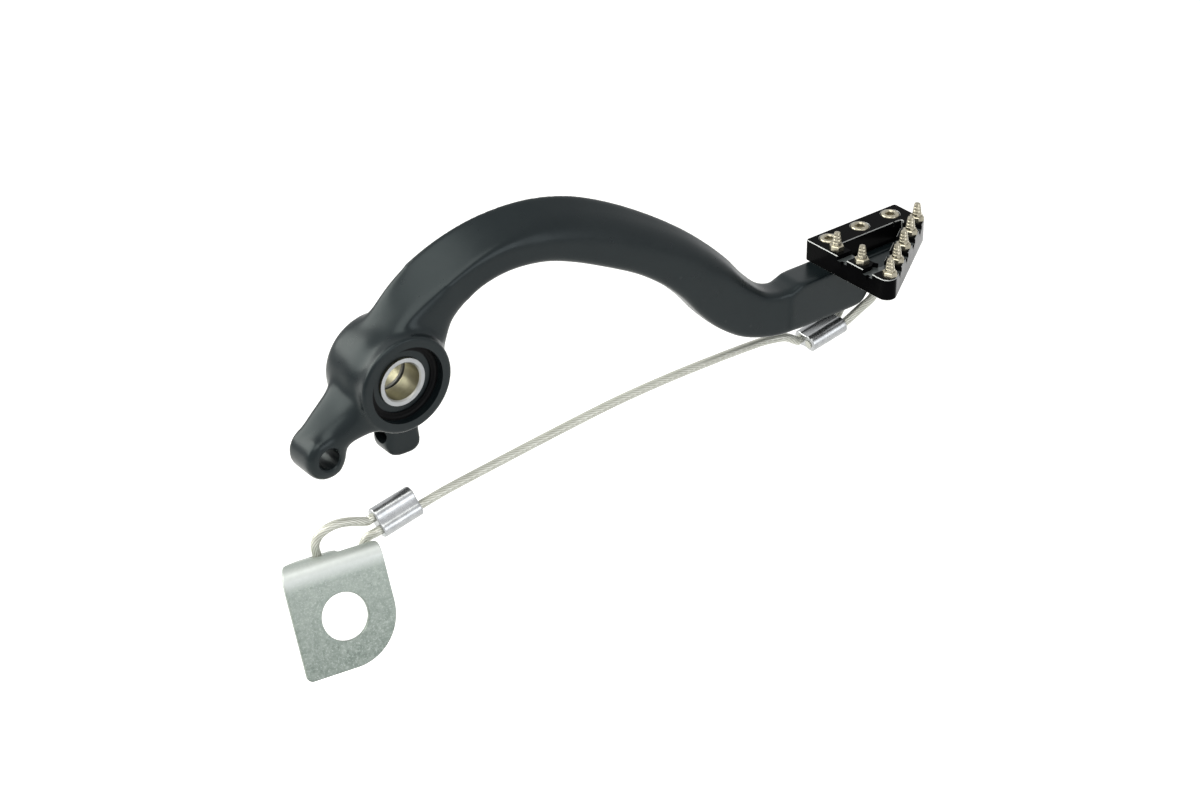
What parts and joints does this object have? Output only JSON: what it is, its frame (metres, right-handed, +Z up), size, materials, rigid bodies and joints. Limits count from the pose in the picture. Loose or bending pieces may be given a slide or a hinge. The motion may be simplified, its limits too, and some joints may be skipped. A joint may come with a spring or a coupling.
{
  "type": "rear brake pedal",
  "caption": "Forged swan-neck motorcycle rear brake pedal with a bushed pivot hub, a rod eye, a stop lug, a cleated step plate and a steel safety cable with its frame bracket.",
  "frame": {"origin": "on the pivot axis, in the middle of the hub", "axes": "+X forward from the pivot to the step plate, -Y outboard (away from the engine), +Z up with the pedal at rest"},
  "size_m": [0.2816, 0.0569, 0.1427],
  "materials": {
    "arm_black": "satin black anodised",
    "plate_black": "gloss black anodised with bright edges",
    "bush_steel": "machined",
    "seal_rubber": "matt",
    "stainless": "bright",
    "cable_steel": "stranded under a clear coat",
    "ferrule_aluminium": "bright",
    "bracket_zinc": "zinc plated, tumbled"
  },
  "bodies": {
    "pedal": {"pedal_arm": "arm_black", "outer_pivot_bush": "bush_steel", "inner_pivot_bush": "bush_steel", "outer_dust_seal": "seal_rubber", "inner_dust_seal": "seal_rubber", "step_plate": "plate_black", "step_screw_1": "stainless", "step_screw_2": "stainless", "step_screw_3": "stainless", "cleat_1": "stainless", "cleat_2": "stainless", "cleat_3": "stainless", "cleat_4": "stainless", "cleat_5": "stainless", "cleat_6": "stainless", "cleat_7": "stainless", "safety_cable": "cable_steel", "tip_ferrule": "ferrule_aluminium", "bracket_ferrule": "ferrule_aluminium"},
    "bracket": {"frame_bracket": "bracket_zinc"}
  },
  "joints": [
    {"name": "bracket_swing", "type": "hinge", "parent": "pedal", "child": "bracket", "pos_m": [-0.0338, -0.0034, -0.0596], "axis": [0.983, -0.1733, 0.061], "range_deg": [-2, 20]}
  ]
}
